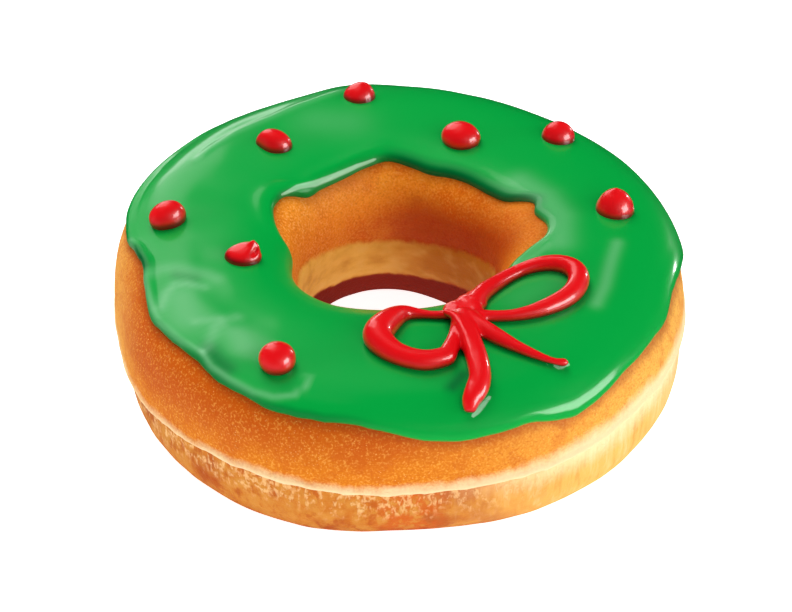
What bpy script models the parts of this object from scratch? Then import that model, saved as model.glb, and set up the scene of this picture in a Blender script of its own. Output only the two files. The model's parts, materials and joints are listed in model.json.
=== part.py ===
"""An iced ring doughnut: a fried yeast ring, a coat of icing over its top, a piped bow and
eight piped dots. Metres, +Z up. The origin is where the ring rests, at the middle of its hole.

A bearing is an angle round the ring from +X. A turn is an angle round the ring's section,
from level on its outer side, up over the crown and down into the hole.
"""

import math

import bmesh
import bpy
from mathutils import Vector

MM = 0.001
FULL_TURN = 2 * math.pi

# The ring of dough: its height, and how square each quarter of its section is (2 is round)
WAIST_HEIGHT = 13.8 * MM
DOUGH_HEIGHT = 29.9 * MM
BASE_CUT = 0.4 * MM
OUTER_TOP, INNER_TOP, INNER_BOTTOM, OUTER_BOTTOM = 3.35, 3.6, 3.8, 2.5

# The ring is a little out of round: bearing, and millimetres from its axis at the waist
OUTER_SIDE = (
    (0, 48.0),
    (30, 47.2),
    (62, 46.1),
    (85, 47.0),
    (103, 47.8),
    (116, 47.0),
    (138, 47.9),
    (165, 48.2),
    (192, 47.0),
    (212, 48.0),
    (232, 48.3),
    (250, 47.9),
    (275, 46.1),
    (300, 47.6),
    (335, 48.7),
)
HOLE_WALL = (
    (0, 16.9),
    (30, 15.7),
    (60, 15.5),
    (90, 17.1),
    (112, 17.3),
    (150, 16.2),
    (180, 16.4),
    (210, 18.0),
    (235, 17.6),
    (262, 16.0),
    (285, 15.8),
    (310, 16.5),
    (335, 17.3),
)

# The step at the ring's girth, where the two fried halves meet: bearing, height, depth
GIRTH_STEP = (
    (0, 17.4, 0.5),
    (40, 15.5, 0.7),
    (80, 15.0, 0.8),
    (120, 15.6, 0.9),
    (160, 14.4, 0.8),
    (202, 13.9, 0.9),
    (235, 16.0, 1.0),
    (271, 14.6, 1.0),
    (305, 16.2, 0.8),
    (335, 18.2, 0.4),
)
STEP_DROP = 0.5 * MM
STEP_FADES_AT = 2.0 * MM
STEP_OFFSETS = (-6.0, -2.0, 0.0, 4.0)

# The pale band round the wall of the hole, which swells into it
BAND_BOTTOM = 7.3 * MM
BAND_TOP = 15.7 * MM
BAND_SWELL = 0.45 * MM

# How finely each piece is meshed
BEARINGS = 76
SECTION_POINTS = 30
ICING_POINTS = 22
KNOT_SEGMENTS, KNOT_RINGS = 16, 10
DOT_SEGMENTS, DOT_RINGS = 12, 8
STRAND_STEPS = 3
STRAND_BEVEL = 2
WELD_DISTANCE = 0.01 * MM

# The icing: its coat, and where its edge lies, as bearing and turn in degrees
GAP = 0.35 * MM
ICING_THICKNESS = 0.9 * MM
ICING_TOP = GAP + ICING_THICKNESS
LIP_ROUNDNESS = 0.25
OUTER_EDGE = (
    (4, 31),
    (14, 34),
    (28, 38),
    (45, 33),
    (62, 39),
    (80, 34),
    (98, 40),
    (115, 34),
    (132, 38),
    (150, 38),
    (166, 40),
    (180, 46),
    (190, 53),
    (201, 51),
    (209, 49),
    (216, 51),
    (224, 52),
    (231, 49),
    (238, 48),
    (245, 46),
    (254, 45),
    (262, 44),
    (269, 40),
    (276, 36),
    (282, 34),
    (291, 36),
    (298, 37),
    (306, 33),
    (311, 35),
    (317, 38),
    (325, 41),
    (334, 41),
    (347, 43),
    (356, 38),
)
INNER_EDGE = (
    (6, 116),
    (14, 119),
    (21, 116),
    (29, 125),
    (40, 128),
    (52, 128),
    (63, 129),
    (75, 131),
    (86, 129),
    (95, 127),
    (105, 133),
    (118, 135),
    (130, 131),
    (141, 129),
    (150, 124),
    (159, 124),
    (169, 128),
    (178, 134),
    (188, 144),
    (205, 142),
    (220, 138),
    (240, 137),
    (262, 140),
    (283, 137),
    (303, 140),
    (322, 138),
    (340, 138),
    (350, 129),
    (358, 119),
)

# The piped bow: strands as x, y and half width in millimetres, from the knot outwards
RIGHT_LOOP = (
    (10.8, -21.6, 1.5),
    (12.2, -17.8, 1.4),
    (15.1, -13.5, 1.2),
    (19.0, -10.5, 1.2),
    (23.0, -9.2, 1.5),
    (26.4, -9.6, 1.6),
    (28.6, -11.6, 1.8),
    (28.9, -14.6, 1.9),
    (27.3, -17.9, 1.8),
    (23.8, -20.4, 1.7),
    (19.6, -22.2, 1.3),
    (15.4, -22.9, 1.0),
    (11.6, -22.8, 1.2),
)
LEFT_LOOP = (
    (9.6, -22.4, 1.2),
    (6.4, -22.8, 0.9),
    (3.2, -22.4, 1.0),
    (0.8, -22.6, 1.4),
    (-1.3, -24.8, 2.0),
    (-2.8, -28.2, 2.7),
    (-1.6, -31.6, 2.3),
    (1.2, -34.0, 1.9),
    (4.8, -34.6, 1.8),
    (7.6, -32.4, 1.8),
    (8.9, -28.0, 1.5),
    (9.6, -23.6, 1.3),
)
FRONT_TAIL = (
    (10.0, -22.4, 1.4),
    (10.5, -26.6, 1.8),
    (11.4, -30.6, 1.9),
    (12.3, -34.2, 2.0),
    (12.6, -37.0, 1.9),
    (12.1, -39.4, 1.8),
    (11.6, -41.0, 1.8),
    (11.3, -42.2, 1.7),
    (11.2, -42.8, 0.9),
)
RIGHT_TAIL = (
    (11.0, -22.8, 1.4),
    (14.2, -26.4, 1.7),
    (17.2, -29.0, 1.4),
    (20.0, -31.0, 1.2),
    (22.6, -32.3, 1.0),
    (24.8, -32.8, 0.9),
    (26.0, -32.8, 0.7),
    (26.5, -32.8, 0.3),
)
STRANDS = (RIGHT_LOOP, LEFT_LOOP, FRONT_TAIL, RIGHT_TAIL)
STRAND_RISE = 0.25  # of its half width, how far a strand's middle is above the icing
KNOT_CENTRE = (10.6, -22.2)
KNOT_RADII = (2.9 * MM, 2.9 * MM, 2.5 * MM)

# The piped dots: x, y, width and height in millimetres, and how far the tip leans in x and y
DOTS = (
    (-6.6, 36.1, 5.6, 2.7, 0.0, 0.0),
    (-21.1, 22.1, 6.4, 2.6, -0.9, 0.0),
    (10.9, 24.1, 6.6, 3.0, 0.0, 0.0),
    (27.3, 25.4, 5.6, 2.9, -0.3, 0.0),
    (35.7, 5.0, 6.2, 3.8, 0.0, 0.2),
    (-37.5, 1.0, 6.1, 3.4, -0.3, 0.0),
    (-25.0, -8.2, 5.9, 2.6, 1.8, 0.8),
    (-18.3, -33.8, 5.9, 3.9, 0.0, 0.0),
)
TIP_SHARPNESS = 3

# The colour and the roughness of each material
DOUGH_LOOK = ((0.62, 0.25, 0.06), 0.5)
ICING_LOOK = ((0.0, 0.36, 0.06), 0.2)
PIPING_LOOK = ((0.72, 0.01, 0.015), 0.2)


def clear_scene():
    for obj in list(bpy.data.objects):
        bpy.data.objects.remove(obj)


def material(name, look):
    colour, roughness = look
    made = bpy.data.materials.new(name)
    made.use_nodes = True
    shader = made.node_tree.nodes["Principled BSDF"]
    shader.inputs["Base Color"].default_value = (*colour, 1)
    shader.inputs["Roughness"].default_value = roughness
    shader.inputs["Metallic"].default_value = 0
    return made


def smooth_loop(keys, bearing, column=1):
    """A column of keys at a bearing in degrees, on a smooth closed curve through them all."""
    bearing %= 360
    count = len(keys)
    after = next((i for i, key in enumerate(keys) if key[0] > bearing), 0)
    b0, b1, b2, b3 = (keys[(after + step) % count] for step in (-2, -1, 0, 1))
    span = (b2[0] - b1[0]) % 360
    share = ((bearing - b1[0]) % 360) / span
    leaving = (b2[column] - b0[column]) / ((b2[0] - b0[0]) % 360) * span
    arriving = (b3[column] - b1[column]) / ((b3[0] - b1[0]) % 360) * span
    rise = share * share * (3 - 2 * share)
    ease_out = share * (1 - share) ** 2
    ease_in = share * share * (share - 1)
    return b1[column] + (b2[column] - b1[column]) * rise + leaving * ease_out + arriving * ease_in


def side_radii(bearing):
    """How far the hole's wall and the ring's outer side are from the axis."""
    degrees = math.degrees(bearing)
    return smooth_loop(HOLE_WALL, degrees) * MM, smooth_loop(OUTER_SIDE, degrees) * MM


def squareness(across, up):
    if up >= 0:
        return OUTER_TOP if across >= 0 else INNER_TOP
    return OUTER_BOTTOM if across >= 0 else INNER_BOTTOM


def envelope(bearing, turn, lift=0.0):
    """Radius and height of the ring's plain section, or of one that stands lift outside it."""
    inner, outer = side_radii(bearing)
    across, up = math.cos(turn), math.sin(turn)
    power = squareness(across, up)
    reach = (abs(across) ** power + abs(up) ** power) ** (-1 / power)
    half_height = DOUGH_HEIGHT - WAIST_HEIGHT if up >= 0 else WAIST_HEIGHT + BASE_CUT
    radius = (inner + outer) / 2 + ((outer - inner) / 2 + lift) * reach * across
    return radius, WAIST_HEIGHT + (half_height + lift) * reach * up


def crown_height(x, y, lift):
    """Height of the surface that stands lift outside the dough's upper half, above a point."""
    inner, outer = side_radii(math.atan2(y, x))
    across = (math.hypot(x, y) - (inner + outer) / 2) / ((outer - inner) / 2 + lift)
    power = squareness(across, 1)
    share = max(1 - abs(across) ** power, 0) ** (1 / power)
    return WAIST_HEIGHT + (DOUGH_HEIGHT - WAIST_HEIGHT + lift) * share


def smooth_step(value, start, end):
    share = min(max((value - start) / (end - start), 0), 1)
    return share * share * (3 - 2 * share)


def dough_point(bearing, turn):
    """A point of the dough: the plain section with its girth step, pale band and flat base."""
    radius, height = envelope(bearing, turn)
    degrees = math.degrees(bearing)
    if math.cos(turn) > 0:
        step_top = smooth_loop(GIRTH_STEP, degrees, 1) * MM
        depth = smooth_loop(GIRTH_STEP, degrees, 2) * MM
        under = smooth_step(step_top - height, 0, STEP_DROP)
        radius -= depth * under * smooth_step(height, 0, step_top - STEP_FADES_AT)
    elif BAND_BOTTOM < height < BAND_TOP:
        share = (height - BAND_BOTTOM) / (BAND_TOP - BAND_BOTTOM)
        radius -= BAND_SWELL * math.sin(math.pi * share)
    return radius, max(height, 0)


def section_turns(bearing):
    """Turns of the ring's section points, which close up at the girth step."""
    step_top = smooth_loop(GIRTH_STEP, math.degrees(bearing), 1) * MM
    girth = math.degrees(math.atan2(step_top - WAIST_HEIGHT, DOUGH_HEIGHT - WAIST_HEIGHT))
    evenly = SECTION_POINTS - len(STEP_OFFSETS)
    stride = 360 / (evenly + 2)
    spread = [girth + stride * (1 + i) + STEP_OFFSETS[-1] for i in range(evenly)]
    return [math.radians(turn) for turn in [girth + offset for offset in STEP_OFFSETS] + spread]


def new_torus(name, section_points):
    """A torus of radius 1 and tube 0.5, whose points are then moved, as a named object."""
    bpy.ops.mesh.primitive_torus_add(
        major_segments=BEARINGS,
        minor_segments=section_points,
        major_radius=1.0,
        minor_radius=0.5,
    )
    torus = bpy.context.object
    torus.name = torus.data.name = name
    return torus


def torus_place(co, section_points):
    """The bearing of a torus point, and its number round the tube."""
    bearing = math.atan2(co.y, co.x)
    tube = math.atan2(co.z, math.hypot(co.x, co.y) - 1.0) % FULL_TURN
    return bearing, round(tube / FULL_TURN * section_points) % section_points


def place(vertex, bearing, radius, height):
    vertex.co = (radius * math.cos(bearing), radius * math.sin(bearing), height)


def make_dough():
    ring = new_torus("dough_ring", SECTION_POINTS)
    for vertex in ring.data.vertices:
        bearing, number = torus_place(vertex.co, SECTION_POINTS)
        turn = section_turns(bearing)[number]
        place(vertex, bearing, *dough_point(bearing, turn))
    return ring


def make_icing():
    """The coat, from its outer edge over the crown and back along its underside."""
    coat = new_torus("icing", ICING_POINTS)
    for vertex in coat.data.vertices:
        bearing, number = torus_place(vertex.co, ICING_POINTS)
        degrees = math.degrees(bearing)
        around = FULL_TURN * number / ICING_POINTS
        outer = smooth_loop(OUTER_EDGE, degrees)
        inner = smooth_loop(INNER_EDGE, degrees)
        turn = math.radians(outer + (inner - outer) * (1 - math.cos(around)) / 2)
        body = max(math.sin(around), 0) ** LIP_ROUNDNESS
        place(vertex, bearing, *envelope(bearing, turn, GAP + ICING_THICKNESS * body))
    return coat


def rest_on_icing(mesh):
    """Flattens what lies under the top of the icing, so that a piped shape sits on it."""
    for vertex in mesh.vertices:
        ground = crown_height(vertex.co.x, vertex.co.y, ICING_TOP + GAP)
        vertex.co.z = max(vertex.co.z, ground)


def mesh_of_curve(curve_object):
    """The curve's tube as a closed mesh object. The curve is removed."""
    evaluated = curve_object.evaluated_get(bpy.context.evaluated_depsgraph_get())
    mesh = bpy.data.meshes.new_from_object(evaluated)
    welded = bmesh.new()
    welded.from_mesh(mesh)
    bmesh.ops.remove_doubles(welded, verts=welded.verts, dist=WELD_DISTANCE)
    bmesh.ops.recalc_face_normals(welded, faces=welded.faces)
    welded.to_mesh(mesh)
    welded.free()
    made = bpy.data.objects.new(curve_object.name + "_mesh", mesh)
    made.matrix_world = curve_object.matrix_world
    bpy.data.objects.remove(curve_object)
    return made


def make_strand(name, points):
    """One squeeze of the piping bag, as a tube whose middle runs just above the icing."""
    curve = bpy.data.curves.new(name, "CURVE")
    curve.dimensions = "3D"
    curve.bevel_depth = MM
    curve.bevel_resolution = STRAND_BEVEL
    curve.resolution_u = STRAND_STEPS
    curve.use_fill_caps = True
    spline = curve.splines.new("NURBS")
    spline.points.add(len(points) - 1)
    spline.order_u = 3
    spline.use_endpoint_u = True
    for knot, (x, y, half_width) in zip(spline.points, points):
        ground = crown_height(x * MM, y * MM, ICING_TOP + GAP)
        knot.co = (x * MM, y * MM, ground + half_width * STRAND_RISE * MM, 1)
        knot.radius = half_width
    strand = bpy.data.objects.new(name, curve)
    bpy.context.scene.collection.objects.link(strand)
    return strand


def make_knot():
    x, y = (value * MM for value in KNOT_CENTRE)
    ground = crown_height(x, y, ICING_TOP + GAP)
    bpy.ops.mesh.primitive_uv_sphere_add(segments=KNOT_SEGMENTS, ring_count=KNOT_RINGS, radius=1)
    knot = bpy.context.object
    knot.name = "bow"
    for vertex in knot.data.vertices:
        vertex.co = Vector((x, y, ground)) + Vector(a * b for a, b in zip(vertex.co, KNOT_RADII))
    return knot


def make_bow():
    """The knot with the strands joined to it, flat underneath where it lies on the icing."""
    bow = make_knot()
    joined = bpy.data.collections.new("bow_strands")
    bpy.context.scene.collection.children.link(joined)
    for number, points in enumerate(STRANDS):
        strand = mesh_of_curve(make_strand(f"strand_{number}", points))
        joined.objects.link(strand)
    union = bow.modifiers.new("join_strands", "BOOLEAN")
    union.operation = "UNION"
    union.operand_type = "COLLECTION"
    union.collection = joined
    bpy.context.view_layer.objects.active = bow
    bpy.ops.object.modifier_apply(modifier=union.name)
    for strand in list(joined.objects):
        bpy.data.objects.remove(strand)
    bpy.data.collections.remove(joined)
    rest_on_icing(bow.data)
    return bow


def make_dot(name, x, y, width, height, lean_x, lean_y):
    """A drop of piped icing: a dome whose tip leans the way the piping bag was pulled off."""
    ground = crown_height(x * MM, y * MM, ICING_TOP + GAP)
    bpy.ops.mesh.primitive_uv_sphere_add(segments=DOT_SEGMENTS, ring_count=DOT_RINGS, radius=1)
    dot = bpy.context.object
    dot.name = dot.data.name = name
    for vertex in dot.data.vertices:
        unit = vertex.co.copy()
        tip = max(unit.z, 0) ** TIP_SHARPNESS
        vertex.co.x = (x + unit.x * width / 2 + lean_x * tip) * MM
        vertex.co.y = (y + unit.y * width / 2 + lean_y * tip) * MM
        vertex.co.z = ground + unit.z * height * MM
    rest_on_icing(dot.data)
    return dot


def finish(obj, look, collection):
    obj.data.materials.clear()
    obj.data.materials.append(look)
    for owner in list(obj.users_collection):
        owner.objects.unlink(obj)
    collection.objects.link(obj)
    obj.data.shade_smooth()


def main():
    clear_scene()
    doughnut = bpy.data.collections.new("ring_doughnut")
    bpy.context.scene.collection.children.link(doughnut)
    piping = material("piping", PIPING_LOOK)
    finish(make_dough(), material("dough", DOUGH_LOOK), doughnut)
    finish(make_icing(), material("icing", ICING_LOOK), doughnut)
    finish(make_bow(), piping, doughnut)
    for number, dot in enumerate(DOTS, start=1):
        finish(make_dot(f"dot_{number}", *dot), piping, doughnut)


main()
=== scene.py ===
import json
import math

import bpy
import numpy as np
from mathutils import Matrix, Vector, noise

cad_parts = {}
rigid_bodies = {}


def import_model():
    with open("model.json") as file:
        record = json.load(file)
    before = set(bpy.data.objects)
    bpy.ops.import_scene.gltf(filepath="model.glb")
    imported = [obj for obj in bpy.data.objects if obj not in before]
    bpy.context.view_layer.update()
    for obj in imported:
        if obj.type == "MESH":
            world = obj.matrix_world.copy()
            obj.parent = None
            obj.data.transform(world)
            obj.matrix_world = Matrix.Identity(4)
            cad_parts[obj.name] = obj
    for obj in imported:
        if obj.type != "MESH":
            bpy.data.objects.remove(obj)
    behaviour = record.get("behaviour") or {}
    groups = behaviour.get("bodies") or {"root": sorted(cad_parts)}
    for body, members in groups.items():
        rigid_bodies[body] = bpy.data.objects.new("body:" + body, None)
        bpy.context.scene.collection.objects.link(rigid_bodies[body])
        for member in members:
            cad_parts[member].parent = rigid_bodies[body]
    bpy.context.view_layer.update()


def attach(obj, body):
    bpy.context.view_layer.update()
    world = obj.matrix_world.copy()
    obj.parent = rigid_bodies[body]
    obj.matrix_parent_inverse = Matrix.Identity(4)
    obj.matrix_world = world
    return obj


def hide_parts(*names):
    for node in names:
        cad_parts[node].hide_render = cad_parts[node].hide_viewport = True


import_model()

MM = 0.001


# The studio: the photo's viewing angle on the doughnut, a wide pale floor, and soft lamps.
# The broad lamps light every surface and stay out of the gloss. The gloss lamps show in the
# gloss alone: pale hazes over the icing's left and back, and small glints at each dot's right.
VIEW_ELEVATION = 39.7
VIEW_DISTANCE = 444 * MM
VIEW_ROLL = 0.44
AIM = Vector((0, 0, 15 * MM))
PHOTO_WIDTH = 792
FOCAL_PIXELS = 2652
VIEW_SHIFT = (-0.001, -0.0038)
NEAREST_SEEN = 10 * MM
SENSOR = 36
FLOOR_SIZE = 6.0
FLOOR_GLOW = 0.90
AIR_GLOW = 0.22
# Each lamp's name, bearing and rise in degrees, distance and size in metres, and watts
BROAD_LAMPS = (
    ("overhead", 115, 58, 0.9, (0.6, 0.6), 6.6),
    ("front_fill", -58, 30, 0.9, (0.6, 0.5), 2.8),
    ("right_fill", -12, 18, 0.9, (0.5, 0.5), 2.3),
    ("left_fill", 196, 10, 0.9, (0.4, 0.4), 2.2),
)
GLOSS_LAMPS = (
    ("left_haze", 120, 32, 0.8, (0.42, 0.62), 1.4),
    ("low_haze", 106, 7, 0.8, (0.30, 0.12), 0.35),
    ("right_glint", -28, 14, 0.6, (0.40, 0.30), 4.0),
    ("back_spark", 43, 4, 0.6, (0.05, 0.05), 0.35),
)


def add_camera():
    lens = bpy.data.cameras.new("photo_view")
    camera = bpy.data.objects.new("photo_view", lens)
    bpy.context.scene.collection.objects.link(camera)
    rise = math.radians(VIEW_ELEVATION)
    place = AIM + Vector((0, -math.cos(rise), math.sin(rise))) * VIEW_DISTANCE
    turn = (AIM - place).to_track_quat("-Z", "Y").to_matrix().to_4x4()
    roll = Matrix.Rotation(math.radians(VIEW_ROLL), 4, "Z")
    camera.matrix_world = Matrix.Translation(place) @ turn @ roll
    lens.sensor_width = SENSOR
    lens.lens = SENSOR * FOCAL_PIXELS / PHOTO_WIDTH
    lens.shift_x, lens.shift_y = VIEW_SHIFT
    lens.clip_start = NEAREST_SEEN
    bpy.context.scene.camera = camera


def add_lamp(name, bearing, rise, distance, size, watts, in_gloss):
    """A flat softbox aimed at the doughnut, which shows in the gloss or lights the surfaces."""
    lamp = bpy.data.lights.new(name, "AREA")
    lamp.shape = "RECTANGLE"
    lamp.size, lamp.size_y = size
    lamp.energy = watts
    light = bpy.data.objects.new(name, lamp)
    bpy.context.scene.collection.objects.link(light)
    across, up = math.radians(bearing), math.radians(rise)
    away = Vector((math.cos(up) * math.cos(across), math.cos(up) * math.sin(across), math.sin(up)))
    light.location = AIM + away * distance
    light.rotation_euler = (-away).to_track_quat("-Z", "Y").to_euler()
    light.visible_glossy = in_gloss
    light.visible_diffuse = not in_gloss
    light.visible_camera = False


def display(red, green, blue):
    """A colour given as the eye sees it on a screen, 0 to 255, as the shader's linear light."""
    shares = (value / 255 for value in (red, green, blue))
    return tuple(s / 12.92 if s <= 0.04045 else ((s + 0.055) / 1.055) ** 2.4 for s in shares)


class Reading:
    """A number that a material works out at each point, so that its maths reads as Python."""

    def __init__(self, finish, socket):
        self.finish = finish
        self.socket = socket

    def maths(self, operation, first, second=0.0):
        settings = {"operation": operation}
        return self.finish.node("ShaderNodeMath", settings, {0: first, 1: second})

    def __add__(self, other):
        return self.maths("ADD", self, other)

    def __sub__(self, other):
        return self.maths("SUBTRACT", self, other)

    def __rsub__(self, other):
        return self.maths("SUBTRACT", other, self)

    def __mul__(self, other):
        return self.maths("MULTIPLY", self, other)

    def fade(self, low, high):
        """0 below low and 1 above high, with a smooth rise between them."""
        settings = {"interpolation_type": "SMOOTHSTEP"}
        sockets = {"Value": self, "From Min": low, "From Max": high}
        return self.finish.node("ShaderNodeMapRange", settings, sockets)

    __radd__ = __add__
    __rmul__ = __mul__


class Finish:
    """One material. Each node is added by its type, its settings and what its sockets hold."""

    def __init__(self, name):
        self.material = bpy.data.materials.new(name)
        self.material.use_nodes = True
        self.tree = self.material.node_tree
        self.shader = self.tree.nodes["Principled BSDF"]

    def fill(self, node, sockets):
        for socket, held in sockets.items():
            target = node.inputs[socket]
            if isinstance(held, Reading):
                self.tree.links.new(held.socket, target)
            elif isinstance(held, tuple) and len(target.default_value) > len(held):
                target.default_value = (*held, 1)
            else:
                target.default_value = held

    def node(self, kind, settings, sockets, output=0):
        node = self.tree.nodes.new(kind)
        for setting, value in settings.items():
            setattr(node, setting, value)
        self.fill(node, sockets)
        return Reading(self, node.outputs[output])

    def place(self, stretch=(1, 1, 1)):
        """The point on the piece, in metres, stretched along each axis."""
        point = self.node("ShaderNodeTexCoord", {}, {}, "Object")
        return self.node("ShaderNodeMapping", {}, {"Vector": point, "Scale": stretch})

    def measure(self, name):
        """A measure that the mesh holds at each of its points."""
        return self.node("ShaderNodeAttribute", {"attribute_name": name}, {}, "Fac")

    def cloud(self, size, place, detail=2.0, roughness=0.5):
        """Soft noise, 0 to 1, whose patches are size metres across."""
        sockets = {"Vector": place, "Scale": 1 / size, "Detail": detail, "Roughness": roughness}
        return self.node("ShaderNodeTexNoise", {}, sockets)

    def cells(self, size, place, randomness=1.0):
        """Distance to the nearest of many scattered points, size metres apart."""
        sockets = {"Vector": place, "Scale": 1 / size, "Randomness": randomness}
        return self.node("ShaderNodeTexVoronoi", {}, sockets)

    def blend(self, share, plain, other):
        """The colour plain where share is 0, and other where it is 1."""
        settings = {"data_type": "RGBA", "clamp_factor": True}
        return self.node("ShaderNodeMix", settings, {0: share, 6: plain, 7: other}, 2)

    def bump(self, height, distance, strength=1.0):
        sockets = {"Height": height, "Distance": distance, "Strength": strength}
        return self.node("ShaderNodeBump", {}, sockets)

    def surface(self, **sockets):
        """Sets the shader's sockets, whose names have _ for a space."""
        self.fill(self.shader, {name.replace("_", " "): held for name, held in sockets.items()})


add_camera()
for lamp_sizes in BROAD_LAMPS:
    add_lamp(*lamp_sizes, in_gloss=False)
for lamp_sizes in GLOSS_LAMPS:
    add_lamp(*lamp_sizes, in_gloss=True)

air = bpy.data.worlds.new("studio_air")
bpy.context.scene.world = air
air.use_nodes = True
air.node_tree.nodes["Background"].inputs["Color"].default_value = (1, 1, 1, 1)
air.node_tree.nodes["Background"].inputs["Strength"].default_value = AIR_GLOW
air.cycles_visibility.glossy = False
bpy.context.scene.view_settings.view_transform = "Standard"

bpy.ops.object.select_all(action="DESELECT")
bpy.ops.mesh.primitive_plane_add(size=FLOOR_SIZE)
floor = bpy.context.object
floor.name = "studio_floor"
light_table = Finish("light_table")
light_table.surface(
    Base_Color=display(245, 245, 245),
    Roughness=0.9,
    Specular_IOR_Level=0.1,
    Emission_Color=(1.0, 1.0, 1.0),
    Emission_Strength=FLOOR_GLOW,
)
floor.data.materials.append(light_table.material)
floor.visible_glossy = False


# The ring of dough, raised and fried on both sides. Its crust is golden brown above and below,
# with a pale line round the girth where it floated in the fat, torn into short threads under a
# small ragged lip. A broader pale band swells from the wall of the hole.
# Heights in mm of the ring's top and of its widest part, and what its flat base cuts off
CROWN = 29.9
WAIST = 13.8
BASE_CUT = 0.4
# How square each quarter of its section is, as the power of its curve
OUTER_TOP, INNER_TOP, INNER_BOTTOM, OUTER_BOTTOM = 3.35, 3.6, 3.8, 2.5
# Radius of its outside and of its hole, by bearing in degrees
OUTER_SIDE = (
    (0, 48.0), (30, 47.2), (62, 46.1), (85, 47.0), (103, 47.8),
    (116, 47.0), (138, 47.9), (165, 48.2), (192, 47.0), (212, 48.0),
    (232, 48.3), (250, 47.9), (275, 46.1), (300, 47.6), (335, 48.7),
)
HOLE_WALL = (
    (0, 16.9), (30, 15.7), (60, 15.5), (90, 17.1), (112, 17.3), (150, 16.2), (180, 16.4),
    (210, 18.0), (235, 17.6), (262, 16.0), (285, 15.8), (310, 16.5), (335, 17.3),
)
# Height of the step at its girth, and how far the dough draws in under it, by bearing
GIRTH_STEP = (
    (0, 17.4, 0.5), (40, 15.5, 0.7), (80, 15.0, 0.8), (120, 15.6, 0.9), (160, 14.4, 0.8),
    (202, 13.9, 0.9), (235, 16.0, 1.0), (271, 14.6, 1.0), (305, 16.2, 0.8), (335, 18.2, 0.4),
)
# Low relief in mm: the lip and how ragged it is, the threads, the band with its wrinkles and
# the crease over it, and the unevenness of the whole
LIP_SWELL = 0.26
LIP_RAGGED, LIP_RAGGED_FINE = 0.34, 0.26
THREAD_RELIEF = 0.20
BAND_SWELL, BAND_EDGE, BAND_WRINKLES = 0.315, 0.2, 0.10
CREASE = 0.16
UNEVEN, UNEVEN_FINE = 0.30, 0.10
# The band's lower and upper edge, as heights by bearing
BAND_EDGES = (
    (10, 11.2, 20.2), (30, 10.6, 18.7), (58, 8.7, 16.6), (94, 7.0, 14.8), (122, 8.0, 16.1),
    (145, 9.4, 17.6), (165, 10.4, 19.6), (200, 10.2, 19.5), (270, 8.5, 17.0), (340, 10.4, 19.5),
)
RING_BEARINGS = 600
RING_SECTION = 160
# Numbers round the section, and how many degrees past the girth each lies
SECTION_SPREAD = (
    (0, -100), (12, -62), (42, -8), (68, 5), (96, 45),
    (110, 105), (116, 125), (146, 200), (154, 235), (160, 260),
)
# How far inside the outside's radius the skin lies before its relief is added
SKIN_INSET = 0.45


def round_loop(keys, bearings, column=1):
    """A column of keys at bearings in degrees, on a smooth closed curve through them all."""
    table = np.array(keys, float)
    after = np.searchsorted(table[:, 0], bearings % 360, side="right")
    picks = [(after + step) % len(table) for step in (-2, -1, 0, 1)]
    at0, at1, at2, at3 = (table[pick, 0] for pick in picks)
    value0, value1, value2, value3 = (table[pick, column] for pick in picks)
    span = (at2 - at1) % 360
    share = ((bearings - at1) % 360) / span
    leaving = (value2 - value0) / ((at2 - at0) % 360) * span
    arriving = (value3 - value1) / ((at3 - at1) % 360) * span
    rise = share * share * (3 - 2 * share)
    ease_out = share * (1 - share) ** 2
    ease_in = share * share * (share - 1)
    return value1 + (value2 - value1) * rise + leaving * ease_out + arriving * ease_in


def fade(values, low, high):
    share = np.clip((values - low) / (high - low), 0, 1)
    return share * share * (3 - 2 * share)


def hump(values, width):
    """1 where values are 0, falling to nothing some widths away."""
    return np.exp(-((values / width) ** 2))


def ring_point(bearings, turns, lift):
    """Radius and height in mm of the ring's section, for bearings and turns in degrees."""
    inner = round_loop(HOLE_WALL, bearings)
    outer = round_loop(OUTER_SIDE, bearings) - SKIN_INSET
    across, up = np.cos(np.radians(turns)), np.sin(np.radians(turns))
    above = np.where(across >= 0, OUTER_TOP, INNER_TOP)
    power = np.where(up >= 0, above, np.where(across >= 0, OUTER_BOTTOM, INNER_BOTTOM))
    reach = (np.abs(across) ** power + np.abs(up) ** power) ** (-1 / power)
    half_height = np.where(up >= 0, CROWN - WAIST, WAIST + BASE_CUT)
    radius = (inner + outer) / 2 + ((outer - inner) / 2 + lift) * reach * across
    return radius, WAIST + (half_height + lift) * reach * up


def crown_above(x, y, lift):
    """Height in mm of the surface that stands lift outside the dough's top, above a point."""
    bearings = np.degrees(np.arctan2(y, x))
    inner = round_loop(HOLE_WALL, bearings)
    outer = round_loop(OUTER_SIDE, bearings) - SKIN_INSET
    across = (np.hypot(x, y) - (inner + outer) / 2) / ((outer - inner) / 2 + lift)
    power = np.where(across >= 0, OUTER_TOP, INNER_TOP)
    share = np.clip(1 - np.abs(across) ** power, 0, 1) ** (1 / power)
    return WAIST + (CROWN - WAIST + lift) * share


def uneven(points, size, seed, stretch=(1, 1, 1)):
    """Smooth noise, about -1 to 1, at points in mm, with bumps about size mm apart."""
    spots = points * np.array(stretch) / size + np.array((17.3, 5.1, 9.7)) * seed
    return np.array([noise.noise(spot) for spot in spots.tolist()])


def add_torus(name, bearings, section):
    """A torus, and the bearing in degrees and number round the section of each of its points."""
    bpy.ops.object.select_all(action="DESELECT")
    bpy.ops.mesh.primitive_torus_add(
        major_segments=bearings, minor_segments=section, major_radius=1, minor_radius=0.5
    )
    torus = bpy.context.object
    torus.name = torus.data.name = name
    co = points_of(torus)
    tube = np.arctan2(co[:, 2], np.hypot(co[:, 0], co[:, 1]) - 1) / (2 * math.pi)
    number = np.round(tube * section).astype(int) % section
    return torus, np.degrees(np.arctan2(co[:, 1], co[:, 0])) % 360, number


def points_of(obj):
    co = np.zeros(len(obj.data.vertices) * 3)
    obj.data.vertices.foreach_get("co", co)
    return co.reshape(-1, 3)


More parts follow.
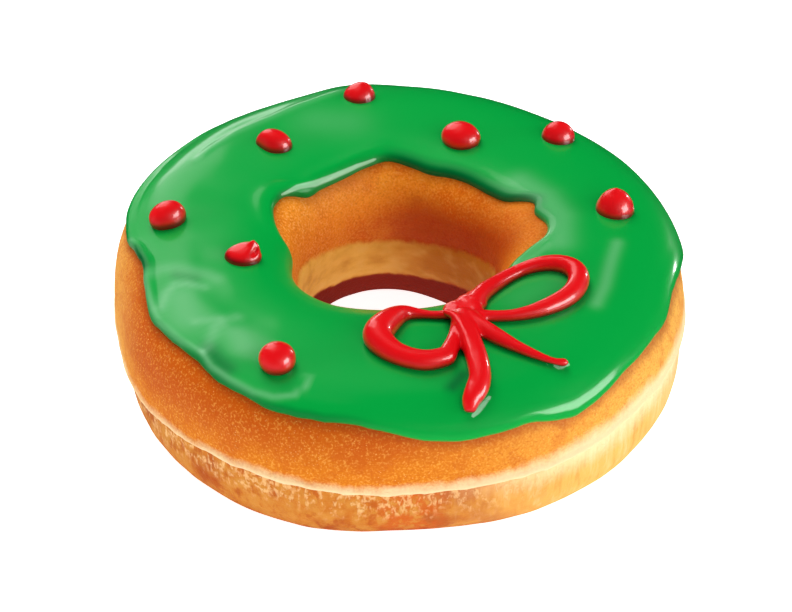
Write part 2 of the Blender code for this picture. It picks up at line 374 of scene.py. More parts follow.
def move_points(obj, co):
    obj.data.vertices.foreach_set("co", co.ravel())
    obj.data.update()


def normals_of(obj):
    facing = np.zeros(len(obj.data.vertices) * 3)
    obj.data.vertex_normals.foreach_get("vector", facing)
    return facing.reshape(-1, 3)


def turned(bearings, radius, height):
    """Points in mm at bearings in degrees, radius from the ring's axis and height."""
    around = np.radians(bearings)
    return np.stack((radius * np.cos(around), radius * np.sin(around), height), 1)


def hold_measure(obj, name, values):
    obj.data.attributes.new(name, "FLOAT", "POINT").data.foreach_set("value", values)


def settle(obj, material_slot, finish, *nodes):
    """Gives a finished piece its material and its body, and hides the solids it stands for."""
    obj.data.materials.clear()
    obj.data.materials.append(finish.material)
    obj.data.shade_smooth()
    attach(obj, "root")
    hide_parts(*nodes)


dough, bearing, number = add_torus("raised_dough", RING_BEARINGS, RING_SECTION)
girth = round_loop(GIRTH_STEP, bearing)
girth_turn = np.degrees(np.arctan2(girth - WAIST, CROWN - WAIST))
turn = girth_turn + np.interp(number, *zip(*SECTION_SPREAD))
radius, height = ring_point(bearing, turn, 0)
on_outside = np.cos(np.radians(turn)) > 0
plain = turned(bearing, radius, height)

# The lip and its torn threads
ragged = LIP_RAGGED * uneven(plain, 3.0, 1, (1, 1, 0))
ragged += LIP_RAGGED_FINE * uneven(plain, 1.3, 2, (1, 1, 0))
below = girth + ragged - height
softness = fade(round_loop(GIRTH_STEP, bearing, 2), 0.35, 0.8)
undercut = round_loop(GIRTH_STEP, bearing, 2) * fade(below, 0, 0.5) * fade(height, 0, girth - 2)
lip = LIP_SWELL * hump(below + 0.35, 0.6)
threads = uneven(plain, 1.0, 3, (1, 1, 0.35)) + 0.7 * uneven(plain, 2.6, 4, (1, 1, 0.5))
thread_relief = THREAD_RELIEF * threads * fade(below, 0.1, 0.8) * (1 - fade(below, 2.5, 7.5))
outside_relief = lip - undercut + thread_relief

# The band on the wall of the hole, with its wrinkles
band_waver = 0.5 * uneven(plain, 7, 5, (1, 1, 0)) + 0.2 * uneven(plain, 1.6, 6, (1, 1, 0))
above_band = height - round_loop(BAND_EDGES, bearing, 2) - 0.4 * band_waver
in_band = np.minimum(height - round_loop(BAND_EDGES, bearing) - band_waver, -above_band)
wrinkles = BAND_WRINKLES * uneven(plain, 1.3, 7, (0.3, 0.3, 1))
band_relief = BAND_SWELL * fade(in_band, -0.1, 2.5)
band_relief += (BAND_EDGE + wrinkles) * fade(in_band, -0.1, 0.3)
crease = -CREASE * hump(above_band, 0.35)

relief = np.where(on_outside, outside_relief, band_relief + crease)
relief += UNEVEN * uneven(plain, 15, 8) + UNEVEN_FINE * uneven(plain, 4, 9)
relief *= fade(height, 0.0, 2.5)
move_points(dough, plain * MM)
skin = plain + normals_of(dough) * relief[:, None]
skin[:, 2] = np.maximum(skin[:, 2], 0)
move_points(dough, skin * MM)
hold_measure(dough, "below_lip", np.where(on_outside, below, -20.0))
hold_measure(dough, "in_band", np.where(on_outside, -20.0, in_band))
hold_measure(dough, "softness", softness)
hold_measure(dough, "in_back", fade(plain[:, 1], -9, 4))

CRUST_GOLD = display(218, 122, 10)
CRUST_DEEP = display(198, 86, 4)
CRUST_PALE = display(246, 188, 80)
CRUST_RUST_AND_SHADE = display(168, 62, 8)
SPECK_CREAM = display(252, 200, 110)
CREAM = display(246, 221, 172)
THREAD_PALE = display(246, 202, 138)
THREAD_TAN = display(206, 136, 52)
LOWER_ORANGE = display(204, 92, 20)
LOWER_GOLD = display(198, 112, 26)
LOWER_RUST = display(172, 66, 10)
LOWER_PALE = display(246, 186, 94)
LIP_SHADE = display(176, 96, 32)
BASE_BROWN = display(164, 60, 8)
BAND_GOLD = display(242, 188, 82)
BAND_TAN = display(194, 118, 34)
BAND_PALE = display(250, 208, 118)
WALL_SHADE_RED = display(176, 50, 14)
WALL_ORANGE = display(248, 152, 36)
WALL_GOLD = display(224, 110, 12)
UNDER_BAND_SHADE = display(138, 30, 8)
WALL_SPECK = display(252, 178, 88)
CRUST_GRAIN = 0.22 * MM


def fried_crust():
    crust = Finish("fried_crust")
    here = crust.place()
    x = crust.node("ShaderNodeSeparateXYZ", {}, {"Vector": here}, "X")
    z = crust.node("ShaderNodeSeparateXYZ", {}, {"Vector": here}, "Z")
    below_lip = crust.measure("below_lip")
    in_band = crust.measure("in_band")
    soft = crust.measure("softness")
    from_icing = crust.measure("from_icing")

    # The crust over the girth: paler towards the lip, with fine pale specks. Painted light makes it
    # paler to the right and at the far left limb; painted shade darkens its left and lies rusty
    # beside the icing
    fine = crust.cloud(0.38 * MM, here, 3)
    broad = crust.cloud(9 * MM, here, 3)
    # The last term darkens the left as painted shade
    tone = broad * 0.5 + (below_lip + 5).fade(-6, 5) * 0.5 + x.fade(-30 * MM, 30 * MM) * 0.35
    gold = crust.blend(tone.fade(0.30, 0.80), CRUST_DEEP, CRUST_GOLD)
    # Painted light: paler to the right, and at the far left limb
    gold = crust.blend(x.fade(0 * MM, 50 * MM) * 0.7, gold, CRUST_PALE)
    gold = crust.blend(x.fade(-40 * MM, -47 * MM) * 0.6, gold, CRUST_PALE)
    patches = crust.cloud(5 * MM, here).fade(0.4, 0.65)
    specks = crust.cells(0.6 * MM, here).fade(0.22, 0.08) * (0.15 + patches * 0.85)
    gold = crust.blend(specks * 0.75, gold, SPECK_CREAM)
    gold = crust.blend(fine.fade(0.5, 0.7) * 0.4, gold, CRUST_PALE)
    gold = crust.blend(fine.fade(0.5, 0.3) * 0.45, gold, CRUST_DEEP)
    gold = crust.blend(crust.cloud(3 * MM, here, 4).fade(0.55, 0.3) * 0.35, gold, CRUST_DEEP)
    # Painted shade beside the icing's edge, in rusty red; the same colour also serves as dark grain
    shade_beside_icing = from_icing + crust.cloud(2 * MM, here) * 1.5
    gold = crust.blend((1 - shade_beside_icing.fade(0.5, 2.6)) * 0.6, gold, CRUST_RUST_AND_SHADE)

    # The crust under the girth, mottled, browner at the foot, with fine torn threads
    mottle = crust.cloud(2.2 * MM, crust.place((1, 1, 0.7)), 6, 0.65)
    curls = crust.cloud(1.7 * MM, crust.place((1, 1, 0.35)), 3, 0.6)
    broken = crust.cloud(1.0 * MM, here, 3).fade(0.40, 0.58)
    streaks = (1 - (curls - 0.5).maths("ABSOLUTE", curls - 0.5).fade(0.0, 0.10)) * broken
    lower = crust.blend(mottle.fade(0.35, 0.65), LOWER_GOLD, THREAD_TAN)
    lower = crust.blend((mottle + curls).fade(0.98, 0.78) * 0.5, lower, LOWER_RUST)
    lower = crust.blend(crust.cloud(8 * MM, here, 4).fade(0.52, 0.68) * 0.8, lower, LOWER_RUST)
    # Paler to the right: partly its own streaky tone, partly painted light from the right
    right = x.fade(2 * MM, 34 * MM)
    brushed = crust.cloud(1.1 * MM, crust.place((1, 1, 0.12)), 3, 0.6)
    lower = crust.blend(right * 0.9, lower, LOWER_PALE)
    lower = crust.blend(right * brushed.fade(0.5, 0.75) * 0.4, lower, CREAM)
    lower = crust.blend(right * brushed.fade(0.48, 0.32) * 0.35, lower, LOWER_GOLD)
    # Painted light on the right limb
    lower = crust.blend(x.fade(40 * MM, 48 * MM) * 0.4, lower, CREAM)
    scorched = x.fade(-5 * MM, 0) * (1 - x.fade(5 * MM, 9 * MM)) * mottle.fade(0.62, 0.45)
    lower = crust.blend(scorched * 0.8, lower, LOWER_ORANGE)
    foot = z + (mottle - 0.5) * (5 * MM)
    lower = crust.blend((1 - foot.fade(0.5 * MM, 5 * MM)) * (1 - right * 0.6), lower, BASE_BROWN)
    reach = mottle * 7 + crust.cloud(4 * MM, here) * 7
    threads = streaks * (1 - (below_lip - reach).fade(-4, 0.5)) * below_lip.fade(0.1, 0.6)
    lower = crust.blend(threads * 0.65 * (1 - right * 0.6), lower, THREAD_PALE)
    melt = below_lip - brushed * 2.5 - mottle * 2 - right * 1.5
    lower = crust.blend((1 - melt.fade(-3.0, 2.5)) * right * 0.85, lower, CREAM)
    shade = (1 - below_lip.fade(0.5, 1.5)) * (0.3 + soft * 0.5) * (1 - threads * 0.7)
    lower = crust.blend(shade * (1 - right), lower, LIP_SHADE)
    outside = crust.blend(below_lip.fade(0.05, 0.25), gold, lower)
    lip_width = crust.cloud(5 * MM, here, 3) * (1.2 + x.fade(-36 * MM, -4 * MM) * 1.2)
    lip_width = lip_width + (mottle - 0.5) * 1.4 + (fine - 0.5) * 0.6
    lip = (below_lip + lip_width + right * (1.2 + brushed)).fade(-1.2, 0.9 + right * 1.2)
    outside = crust.blend(lip * (1 - below_lip.fade(0.1, 0.35)) * 0.85, outside, CREAM)

    # The wall of the hole: orange over the pale band, with painted light making its left more orange
    # and speckled, rust red painted shade over the band at the back right, and dark painted shade
    # under it
    near_band = (in_band + broad * 8 + mottle * 2 + x.fade(-8 * MM, 4 * MM) * 3).fade(-4.5, 3.5)
    # Painted shade, rust red, over the band on the back wall's right
    painted_shade_amount = near_band * (0.25 + x.fade(-8 * MM, 4 * MM) * 0.58) * crust.measure("in_back")
    wall = crust.blend((broad + mottle * 0.5).fade(0.5, 0.9), WALL_GOLD, WALL_ORANGE)
    # Painted light on the wall's lit left: more orange, and stronger pale specks here and below
    wall = crust.blend((1 - x.fade(-16 * MM, 0)) * 0.45, wall, WALL_ORANGE)
    lit = 0.35 + (1 - x.fade(-16 * MM, -6 * MM)) * 0.4
    wall = crust.blend(fine.fade(0.5, 0.65) * lit, wall, WALL_SPECK)
    wall = crust.blend(fine.fade(0.5, 0.3) * 0.3, wall, CRUST_RUST_AND_SHADE)
    wall = crust.blend(specks * (0.3 + (1 - x.fade(-16 * MM, 4 * MM)) * 0.6), wall, WALL_SPECK)
    wall = crust.blend(painted_shade_amount, wall, WALL_SHADE_RED)
    # Painted shade beside the icing's edge
    wall = crust.blend((1 - shade_beside_icing.fade(0.6, 3.6)) * 0.4, wall, CRUST_RUST_AND_SHADE)
    # Painted shade under the band
    wall = crust.blend(in_band.fade(0.5, -0.5) * (1 - z.fade(9 * MM, 12 * MM)), wall, UNDER_BAND_SHADE)
    aside = x.fade(-14 * MM, 16 * MM) + crust.cloud(5 * MM, here, 3) * 0.3
    band = crust.blend(aside.fade(0.1, 1.1), BAND_GOLD, BAND_TAN)
    wrinkled = crust.cloud(2.6 * MM, crust.place((0.7, 0.7, 1.2)), 3, 0.45)
    band = crust.blend(wrinkled.fade(0.55, 0.25) * 0.5, band, BAND_TAN)
    band = crust.blend(wrinkled.fade(0.45, 0.75) * 0.25, band, BAND_PALE)
    wall = crust.blend((in_band + (mottle - 0.5) * 1.5).fade(-0.3, 0.8), wall, band)
    inside = in_band.fade(-15, -14)
    colour = crust.blend(inside, outside, wall)

    grain = fine * 0.6 + crust.cloud(1.2 * MM, here, 2) * 0.6 + specks * 0.5 + threads * 0.6
    crust.surface(
        Base_Color=colour,
        Roughness=0.46 + mottle * 0.2,
        Specular_IOR_Level=0.12,
        Normal=crust.bump(grain, CRUST_GRAIN, 0.8),
    )
    return crust


# The coat of icing, dipped on while runny and set with a gloss. It ends outside in a thick
# rolled rim and inside in a lip down the wall of the hole. Where it was slow to level, low
# ripples and pools have stayed, most of them on its left half.
# How far over the dough its top and its root lie, in mm
ICING_TOP = 1.25
ICING_ROOT = -0.35
# How wide its two rims are rounded, the low bead behind them, and the roll at the back left
OUTER_RIM, INNER_RIM, ROLL_RIM = 1.9, 2.7, 0.9
RIM_ROUNDNESS = 2.4
RIM_BEAD, INNER_ROLL = 0.22, 0.3
# Its waves, how much it thins towards the left, and how much lower it lies behind the bead
WAVES, WAVES_FINE, THINNING, SETTLED = 0.26, 0.05, 0.025, 0.25
# Its two edges, as degrees round the dough's section by bearing, and how far they scallop
OUTER_EDGE = (
    (4, 31), (14, 34), (28, 38), (45, 33), (62, 39), (80, 34), (98, 40), (115, 34), (132, 38),
    (150, 38), (166, 40), (180, 46), (190, 53), (201, 51), (209, 49), (216, 51), (224, 52),
    (231, 49), (238, 48), (245, 46), (254, 45), (262, 44), (269, 40), (276, 36), (282, 34),
    (291, 36), (298, 37), (306, 33), (311, 35), (317, 38), (325, 41), (334, 41), (347, 43),
    (356, 38),
)
INNER_EDGE = (
    (6, 116), (14, 119), (21, 116), (29, 126), (40, 129), (52, 129), (63, 130), (75, 132),
    (86, 130), (95, 128), (105, 131), (118, 134), (130, 134), (141, 133), (150, 125), (159, 124),
    (169, 128), (178, 134), (188, 144), (205, 142), (220, 138), (240, 137), (262, 140),
    (283, 137), (303, 140), (322, 138), (340, 138), (350, 129), (358, 119),
)
SCALLOP, SCALLOP_FINE, INNER_SCALLOP = 1.1, 0.5, 0.2
# Radius in mm of the circle on which the noise for the scallops is read
EDGE_RADIUS = 46.0
ICING_BEARINGS = 600
ICING_SECTION = 160
# The last of the points round its section that lies on its upper face
ICING_OVER = 136
# Ripples in the coat, as height and half width in mm, how strong the painted highlight along each
# is, 0 to 1, and the x and y that it runs through. Those with no height are painted highlight
# streaks alone
RIPPLES_AND_SHEEN = (
    (0.10, 0.6, 0.28, ((-44.0, -1.0), (-43.0, -6.8), (-40.5, -13.2), (-39.0, -18.8), (-37.5, -22.5),
                       (-33.8, -27.2), (-30.2, -30.2))),
    (0.08, 0.5, 0.30, ((-30.2, -30.2), (-28.8, -33.0), (-25.8, -35.8), (-22.0, -38.5),
                       (-18.5, -40.0), (-15.5, -40.0), (-13.8, -38.5), (-13.5, -36.5))),
    (0.00, 1.4, 0.20, ((-40.0, -11.0), (-38.2, -10.0), (-35.8, -10.0), (-33.0, -10.8),
                       (-30.5, -11.8), (-28.8, -12.8))),
    (0.00, 0.9, 0.26, ((-37.8, -19.2), (-37.2, -16.0), (-35.8, -14.2), (-33.8, -14.0),
                       (-30.8, -15.0))),
    (0.00, 3.0, 0.20, ((-34.5, -17.5), (-33.0, -22.0))),
    (0.00, 1.1, 0.24, ((-25.2, -22.5), (-27.0, -23.2), (-28.5, -25.0), (-29.2, -27.8),
                       (-29.5, -29.2))),
    (0.00, 2.4, 0.20, ((-25.0, -26.5), (-24.0, -29.5))),
    (0.00, 0.9, 0.18, ((-31.8, -23.5), (-29.8, -23.2), (-28.0, -22.8))),
    (0.20, 0.9, 0.20, ((-34.0, 20.0), (-32.2, 22.7), (-28.0, 26.8), (-21.8, 31.3), (-17.1, 35.2),
                       (-9.4, 40.1))),
    (0.10, 0.6, 0.10, ((-19.0, 10.0), (-16.8, 12.0), (-14.0, 13.8), (-9.8, 17.0), (-3.8, 20.5))),
    (0.20, 2.6, 0.26, ((20.5, 13.1), (24.5, 9.0), (26.8, 3.6), (26.5, -3.0))),
    (0.12, 1.1, 0.26, ((35.8, -3.5), (34.6, -8.1), (33.2, -14.5), (31.6, -19.0))),
    (0.00, 4.0, 0.08, ((20.0, -17.5), (25.5, -14.0))),
    (0.00, 4.5, 0.12, ((-14.0, 30.0), (-9.0, 29.5))),
)
# Painted glints, white, as the x and y that each runs through, with its half width there
PAINTED_GLINTS = (
    ((-19.0, 10.2, 0.15), (-16.8, 12.2, 0.42), (-14.0, 14.0, 0.46), (-12.5, 15.2, 0.42),
     (-9.8, 17.2, 0.36), (-6.8, 19.2, 0.30), (-3.8, 20.7, 0.20)),
    ((11.7, -42.5, 0.20), (12.8, -41.6, 0.38), (14.5, -39.6, 0.24)),
    ((23.4, -33.0, 0.20), (25.2, -33.4, 0.40), (26.7, -32.6, 0.20)),
)
# Painted shade in hollows and a painted shadow beside the front tail, as depth of colour 0 to 1,
# half width and path
FRONT_HOLLOW = ((-29.3, -29.5), (-28.3, -31.5), (-26.2, -34.0))
PAINTED_SHADE_PATHS = (
    (0.70, 1.1, ((8.6, -38.4), (10.3, -36.0))),
    (0.55, 1.5, FRONT_HOLLOW),
    (0.40, 1.0, ((-42.6, -4.0), (-40.5, -9.0))),
    (0.30, 1.3, ((-35.5, -11.8), (-32.5, -12.6))),
)


def off_path(points, path):
    """How far points are from a path in x and y, in mm, or in its half widths if it has them."""
    nearest = np.full(len(points), np.inf)
    for start, end in zip(path, path[1:]):
        start, end = np.array(start), np.array(end)
        along = (end - start)[:2]
        share = np.clip((points[:, :2] - start[:2]) @ along / (along @ along), 0, 1)
        gap = np.linalg.norm(points[:, :2] - start[:2] - share[:, None] * along, axis=1)
        if len(start) == 3:
            gap /= start[2] + (end[2] - start[2]) * share
        nearest = np.minimum(nearest, gap)
    return nearest


icing, bearing, number = add_torus("poured_icing", ICING_BEARINGS, ICING_SECTION)
edge_place = turned(bearing, np.full(len(bearing), EDGE_RADIUS), np.zeros(len(bearing)))
scallop = SCALLOP * uneven(edge_place, 5, 11) + SCALLOP_FINE * uneven(edge_place, 2, 12)
outer_turn = round_loop(OUTER_EDGE, bearing) + scallop
inner_turn = round_loop(INNER_EDGE, bearing) + INNER_SCALLOP * scallop
over = number <= ICING_OVER
share = np.where(over, number / ICING_OVER, (ICING_SECTION - number) / (ICING_SECTION - ICING_OVER))
eased = 0.35 * share + 0.65 * (1 - np.cos(np.pi * share)) / 2
turn = outer_turn + (inner_turn - outer_turn) * np.where(over, eased, share)
# A degree round the section is about this many millimetres, outside and inside the ring
OUTSIDE_DEGREE, INSIDE_DEGREE = 0.33, 0.36
from_outer = (turn - outer_turn) * OUTSIDE_DEGREE
from_inner = (inner_turn - turn) * INSIDE_DEGREE
from_edge = np.minimum(from_outer, from_inner)
# At the back left, the lip over the hole is a broad thick roll
at_back = fade(np.sin(np.radians(bearing)), -0.1, 0.5)
back_left = at_back * fade(-np.cos(np.radians(bearing)), -0.1, 0.2)
back_right = at_back - back_left
inner_rim = INNER_RIM + ROLL_RIM * back_left
rounding = np.clip(from_edge / np.where(from_inner < from_outer, inner_rim, OUTER_RIM), 0, 1)
rounded = (1 - (1 - rounding) ** RIM_ROUNDNESS) ** (1 / RIM_ROUNDNESS)
body = ICING_ROOT + (ICING_TOP - ICING_ROOT) * rounded
flat = turned(bearing, *ring_point(bearing, turn, 0))
waves = WAVES * uneven(flat, 12, 13) + WAVES_FINE * uneven(flat, 5, 14)
left_half = fade(-flat[:, 0], -5, 25)
waves *= 0.35 + 0.65 * left_half
thinner = THINNING * np.maximum(-flat[:, 0] - 18, 0)
laid = turned(bearing, *ring_point(bearing, turn, ICING_TOP))
crests = sum(tall * hump(off_path(laid, path), wide) for tall, wide, _, path in RIPPLES_AND_SHEEN)
bead = RIM_BEAD * hump(from_edge - 2.6, 1.1) * (0.6 + 0.4 * uneven(flat, 8, 15))
bead += INNER_ROLL * back_left * hump(from_inner - 3.2, 1.4)
bead *= 1 - back_right * hump(from_inner - 2.6, 2.0)
lift = body + (waves - thinner + crests - SETTLED) * fade(from_edge, 0.6, 3.0) + bead
lift = np.where(over, lift, ICING_ROOT - 0.3 * fade(share, 0, 0.1) * fade(1 - share, 0, 0.1))
move_points(icing, turned(bearing, *ring_point(bearing, turn, lift)) * MM)

# Painted highlights: the sheen along the ripples, and how far each point is from a painted glint
painted_sheen_lines = sum(sheen_share * hump(off_path(laid, path), wide) for _, wide, sheen_share, path in RIPPLES_AND_SHEEN)
hold_measure(icing, "painted_sheen", painted_sheen_lines)
off_painted_glints = np.min([off_path(laid, mark) for mark in PAINTED_GLINTS], axis=0)
hold_measure(icing, "off_painted_glints", np.minimum(off_painted_glints, 4))
# Painted shade on its faces turned from the light: in the hollows, beside the front tail, on the rim
# at the left, and on the lip over the hole's back
icing_painted_shade = sum(painted_shade_amount * hump(off_path(laid, path), wide) for painted_shade_amount, wide, path in PAINTED_SHADE_PATHS)
icing_painted_shade += 0.6 * (1 - fade(from_outer, 0.4, 1.9)) * fade(-flat[:, 0], -5, 15)
icing_painted_shade += 0.9 * back_right * (1 - fade(from_inner, 0.4, 4.0))
icing_painted_shade += 0.4 * back_left * (1 - fade(from_inner, 0.4, 2.0))
hold_measure(icing, "icing_painted_shade", icing_painted_shade)
# Where its gloss is dull, so that no haze shows: along the left rim, the lip and one hollow
far_back = fade(np.sin(np.radians(bearing)), 0.25, 0.6)
dull = (1 - fade(from_outer, 1.0, 3.0)) * fade(-flat[:, 0], 5, 20) * (1 - far_back)
dull += (1 - fade(from_inner, 3.0, 9.0)) * fade(-flat[:, 0], 4, 12) * (1 - at_back * 0.7)
dull += 0.7 * back_right * (1 - fade(from_inner, 2.0, 4.0))
dull += 0.9 * back_left * (1 - fade(from_inner, 2.0, 3.5))
dull += hump(off_path(laid, FRONT_HOLLOW), 2.0)
dull += (1 - fade(from_outer, 4.0, 7.5)) * hump(bearing - 172, 13)
hold_measure(icing, "dull", np.minimum(dull, 1))

# The dough's own measure of how far it is from the icing's two edges
dough_co = points_of(dough) / MM
dough_bearing = np.degrees(np.arctan2(dough_co[:, 1], dough_co[:, 0])) % 360
up = (dough_co[:, 2] - WAIST) / (CROWN - WAIST)
outside = round_loop(OUTER_SIDE, dough_bearing)
middle = (round_loop(HOLE_WALL, dough_bearing) + outside) / 2
across = (np.hypot(dough_co[:, 0], dough_co[:, 1]) - middle) / (outside - middle)
dough_turn = np.degrees(np.arctan2(up, across)) % 360
dough_turn = np.where(dough_turn > 270, dough_turn - 360, dough_turn)
outside_gap = (round_loop(OUTER_EDGE, dough_bearing) - dough_turn) * OUTSIDE_DEGREE
inside_gap = (dough_turn - round_loop(INNER_EDGE, dough_bearing)) * INSIDE_DEGREE
hold_measure(dough, "from_icing", np.maximum(outside_gap, inside_gap))
settle(dough, "dough", fried_crust(), "dough_ring")

ICING_GREEN = display(0, 162, 62)
ICING_PAINTED_SHADE = display(0, 84, 42)
ICING_PAINTED_LIGHT = display(150, 214, 165)
ICING_GLOSS = 0.58
SUGAR_ROUGHNESS = 0.285


def set_icing():
    coat = Finish("green_icing")
    broad = coat.cloud(11 * MM, coat.place(), 2)
    dull = coat.measure("dull")
    # Painted shade on the faces turned from the light, then painted highlights: sheen lines and
    # white glints
    green = coat.blend(coat.measure("icing_painted_shade"), ICING_GREEN, ICING_PAINTED_SHADE)
    green = coat.blend(coat.measure("painted_sheen"), green, ICING_PAINTED_LIGHT)
    coat.surface(
        # Painted glints in white over the coat
        Base_Color=coat.blend(coat.measure("off_painted_glints").fade(1.3, 0.7), green, ICING_PAINTED_LIGHT),
        Roughness=SUGAR_ROUGHNESS + broad * 0.06,
        Specular_IOR_Level=0.12,
        Coat_Weight=ICING_GLOSS - dull * 0.5,
        Coat_Roughness=0.13,
    )
    return coat


settle(icing, "green_icing", set_icing(), "icing")


# The bow, piped in one go with a round nozzle: two loops, two tails and the knot where they
# cross. Each squeeze of the bag is a soft rope that sank a little into the icing, and a thin
# ridge runs along both tails where the last of it was laid over the first.
# Each rope of icing, as the x, y and half width in mm that it runs through
RIGHT_LOOP = (
    (12.0, -20.2, 1.4), (13.2, -17.0, 1.6), (15.5, -13.9, 1.35), (19.0, -10.9, 1.1),
    (23.0, -9.6, 1.3), (26.6, -9.9, 1.5), (28.8, -11.8, 1.7), (29.1, -14.8, 1.8),
    (27.5, -18.2, 1.7), (24.0, -20.9, 1.5), (20.0, -22.7, 1.1), (16.0, -23.3, 0.9),
    (12.0, -23.0, 1.1),
)
LEFT_LOOP = (
    (9.6, -22.4, 1.0), (6.6, -22.8, 0.65), (3.6, -22.2, 0.8), (1.0, -22.0, 1.4),
    (-1.2, -24.6, 2.1), (-2.9, -27.6, 2.5), (-2.9, -29.3, 2.4), (-1.0, -31.9, 1.9),
    (1.6, -33.5, 1.7), (4.8, -34.3, 1.7), (7.7, -33.1, 1.6), (7.7, -33.1, 1.6),
    (8.7, -30.0, 1.3), (9.3, -27.0, 1.1), (9.8, -23.6, 1.2),
)
FRONT_TAIL = (
    (10.2, -22.6, 1.5), (10.9, -26.6, 1.7), (11.8, -30.6, 1.75), (12.6, -34.4, 1.8),
    (12.9, -37.4, 1.75), (12.7, -39.2, 1.6), (12.3, -40.6, 1.2), (12.0, -41.4, 0.7),
)
FRONT_TIP = (
    (12.3, -37.6, 1.3), (11.7, -40.0, 1.5), (11.3, -41.6, 1.5), (11.2, -42.6, 0.8),
)
RIGHT_TAIL = (
    (11.2, -23.4, 1.5), (13.6, -26.6, 1.5), (16.8, -29.3, 1.15), (20.4, -31.5, 0.85),
    (23.0, -32.7, 0.65), (24.8, -33.1, 0.55), (26.0, -33.0, 0.85), (26.5, -32.9, 0.35),
)
FRONT_RIDGE = (
    (7.2, -23.4, 0.5), (9.1, -24.3, 0.7), (10.2, -27.4, 0.8), (11.1, -30.7, 0.8),
    (11.8, -34.5, 0.8), (11.9, -37.5, 0.7), (11.6, -39.6, 0.5),
)
RIGHT_RIDGE = (
    (11.6, -24.6, 0.7), (13.8, -26.4, 0.8), (16.4, -28.5, 0.6), (18.6, -30.1, 0.45),
    (20.6, -31.3, 0.35),
)
# Each rope's middle runs this share of its half width above the icing, and the ridges run
# some millimetres more above it, since they lie on the tails
ROPE_RISE = 0.25
ROPES = (
    (RIGHT_LOOP, 0), (LEFT_LOOP, 0), (FRONT_TAIL, 0), (FRONT_TIP, 0), (RIGHT_TAIL, 0),
    (FRONT_RIDGE, 1.4), (RIGHT_RIDGE, 1.0),
)
# The lumps of the knot: the middle in x and y, and half the size along x, y and z
KNOT_LUMPS = (
    (9.8, -21.2, 2.7, 2.1, 1.4), (11.4, -20.2, 2.4, 2.8, 1.6), (12.4, -18.8, 2.0, 2.6, 1.5),
    (12.3, -21.6, 1.5, 1.8, 1.3),
)
# How far over the dough's top the piping is laid, and how deep it sank in the icing
PIPING_GROUND = 1.6
PIPING_SUNK = 0.7
BOW_VOXEL = 0.26 * MM
BOW_SMOOTHING = 14


def add_rope(points, above):
    """One squeeze of the piping bag, as a curve with a round section and closed ends."""
    curve = bpy.data.curves.new("rope", "CURVE")
    curve.dimensions = "3D"
    curve.bevel_depth = MM
    curve.bevel_resolution = 6
    curve.resolution_u = 10
    curve.use_fill_caps = True
    spline = curve.splines.new("NURBS")
    spline.points.add(len(points) - 1)
    spline.order_u = 3
    spline.use_endpoint_u = True
    for place, (knot, (x, y, half_width)) in enumerate(zip(spline.points, points)):
        settled = 1 - (place / (len(points) - 1)) ** 4
        z = crown_above(x, y, PIPING_GROUND) + half_width * ROPE_RISE + above * settled
        knot.co = (x * MM, y * MM, z * MM, 1)
        knot.radius = half_width
    rope = bpy.data.objects.new("rope", curve)
    bpy.context.scene.collection.objects.link(rope)
    return rope


def apply_modifier(obj, kind, **settings):
    modifier = obj.modifiers.new(kind.lower(), kind)
    for setting, value in settings.items():
        setattr(modifier, setting, value)
    bpy.context.view_layer.objects.active = obj
    bpy.ops.object.modifier_apply(modifier=modifier.name)


def lay_on_icing(obj, sunk):
    """Flattens a piped piece's sunk underside, and measures how open each point is to the light."""
    co = points_of(obj) / MM
    ground = crown_above(co[:, 0], co[:, 1], ICING_TOP)
    co[:, 2] = np.maximum(co[:, 2], ground - sunk)
    move_points(obj, co * MM)
    off_foot = fade(co[:, 2] - ground, -0.1, 0.9)
    faces_up = fade(normals_of(obj)[:, 2], -0.45, 0.3)
    hold_measure(obj, "open_top", np.minimum(off_foot, faces_up))


bpy.ops.object.select_all(action="DESELECT")
for x, y, *radii in KNOT_LUMPS:
    bpy.ops.mesh.primitive_uv_sphere_add(segments=40, ring_count=24, radius=MM)
    lump = bpy.context.object
    lump.name = "rope"
    middle = np.array((x, y, crown_above(x, y, PIPING_GROUND))) * MM
    move_points(lump, points_of(lump) * radii + middle)
for points, above in ROPES:
    rope = add_rope(points, above)
    rope.select_set(True)
    bpy.context.view_layer.objects.active = rope
    bpy.ops.object.convert(target="MESH")
for obj in bpy.context.scene.objects:
    if obj.name.startswith("rope"):
        obj.select_set(True)
bpy.context.view_layer.objects.active = lump
bpy.ops.object.join()
bow = bpy.context.object
bow.name = bow.data.name = "piped_bow"
apply_modifier(bow, "REMESH", mode="VOXEL", voxel_size=BOW_VOXEL)
apply_modifier(bow, "SMOOTH", factor=0.5, iterations=BOW_SMOOTHING)
lay_on_icing(bow, PIPING_SUNK)

PIPING_RED = display(230, 6, 16)
PIPING_PAINTED_SHADE = display(110, 0, 6)
PIPING_GRAIN = 0.05 * MM


def set_piping():
    piping = Finish("red_piping")
    here = piping.place()
    broad = piping.cloud(3 * MM, here, 2)
    fine = piping.cloud(0.8 * MM, here, 3)
    piping.surface(
        # Painted shade: darker red at the foot and on faces turned down, where less light reaches
        Base_Color=piping.blend(piping.measure("open_top"), PIPING_PAINTED_SHADE, PIPING_RED),
        Roughness=SUGAR_ROUGHNESS + broad * 0.10,
        Specular_IOR_Level=0.4,
        Coat_Weight=0.6,
        Coat_Roughness=0.04,
        Normal=piping.bump(fine, PIPING_GRAIN, 0.5),
    )
    return piping


red_piping = set_piping()
settle(bow, "red_icing", red_piping, "bow")


# The eight dots, each one short squeeze of the same red icing: a dome that the nozzle left
# with a small peak as it was pulled away. No two are alike, and the tip of dot 7 fell over.
DOT_SEGMENTS, DOT_RINGS = 64, 40
# Places and widths on a dot's dome, in its half widths: its peak, and the hollow beside it
PEAK_WIDTH = 0.22
HOLLOW_X, HOLLOW_Y, HOLLOW_WIDTH = 0.38, -0.42, 0.24
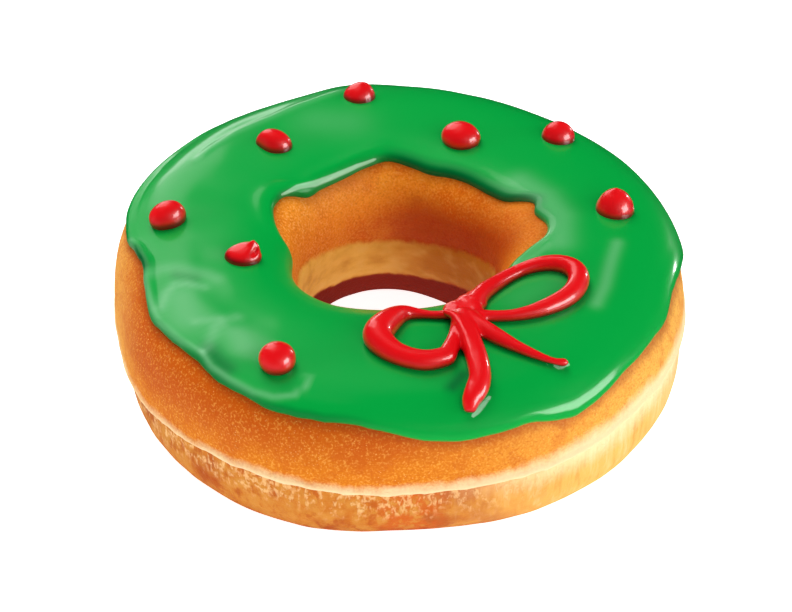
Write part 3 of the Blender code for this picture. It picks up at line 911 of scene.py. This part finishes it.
# Each dot in mm: x, y, width, depth, how high its widest part lies, the dome's height over that,
# its peak's height and lean in x and y, how far its right end lies further back than its middle,
# the share that its left end is narrower by, and how deep its hollow is
DOTS = (
    (-6.8, 37.4, 5.5, 4.9, -0.4, 2.6, 0.35, 0.6, 0.3, 0.0, 0.15, 0.0),
    (-21.1, 23.0, 6.3, 5.0, -0.4, 2.8, 0.1, -0.3, 0.0, -0.5, 0.35, 0.0),
    (10.7, 24.6, 6.7, 5.8, 0.4, 2.5, 0.1, 0.2, 0.2, -0.3, 0.1, 0.0),
    (27.4, 25.9, 5.7, 5.1, -0.4, 3.0, 0.15, 0.0, 0.2, 0.0, 0.0, 0.0),
    (35.9, 5.7, 6.5, 5.9, -0.6, 3.9, 0.4, 0.0, 0.4, 0.0, 0.1, 0.0),
    (-37.7, 2.3, 6.1, 5.0, 0.0, 2.9, 0.0, 0.4, 0.2, 0.4, 0.0, 0.0),
    (-24.9, -7.4, 6.0, 4.8, -0.3, 2.1, 0.7, 1.7, 0.6, 0.0, 0.15, 0.55),
    (-18.3, -33.9, 5.8, 5.7, 0.9, 2.6, 0.0, 0.0, 0.0, 0.0, 0.0, 0.0),
)
for place, dot_sizes in enumerate(DOTS, start=1):
    x, y, width, depth, waist, dome, peak, lean_x, lean_y, turned_back, drawn, hollow = dot_sizes
    bpy.ops.object.select_all(action="DESELECT")
    bpy.ops.mesh.primitive_uv_sphere_add(segments=DOT_SEGMENTS, ring_count=DOT_RINGS, radius=1)
    dot = bpy.context.object
    dot.name = dot.data.name = f"piped_dot_{place}"
    unit = points_of(dot)
    tip = np.maximum(unit[:, 2], 0) ** 3
    swell = 1 + 0.05 * uneven(unit, 1.2, 20 + place)
    peak_gap = np.hypot(unit[:, 0], unit[:, 1])
    point = peak * hump(peak_gap, PEAK_WIDTH) * (unit[:, 2] > 0)
    narrower = 1 - drawn * np.maximum(-unit[:, 0], 0) ** 2
    hollow_gap = np.hypot(unit[:, 0] - HOLLOW_X, unit[:, 1] - HOLLOW_Y)
    dent = hollow * hump(hollow_gap, HOLLOW_WIDTH) * (unit[:, 2] > 0)
    along_x = x + unit[:, 0] * swell * width / 2 + lean_x * tip
    along_y = y + unit[:, 1] * swell * narrower * depth / 2 + lean_y * tip + turned_back * unit[:, 0]
    along_z = crown_above(x, y, ICING_TOP) + waist + unit[:, 2] * dome + point
    shape = np.stack((along_x - dent * 0.3, along_y + dent * 0.5, along_z - dent), 1)
    move_points(dot, shape * MM)
    lay_on_icing(dot, PIPING_SUNK)
    settle(dot, "red_icing", red_piping, f"dot_{place}")
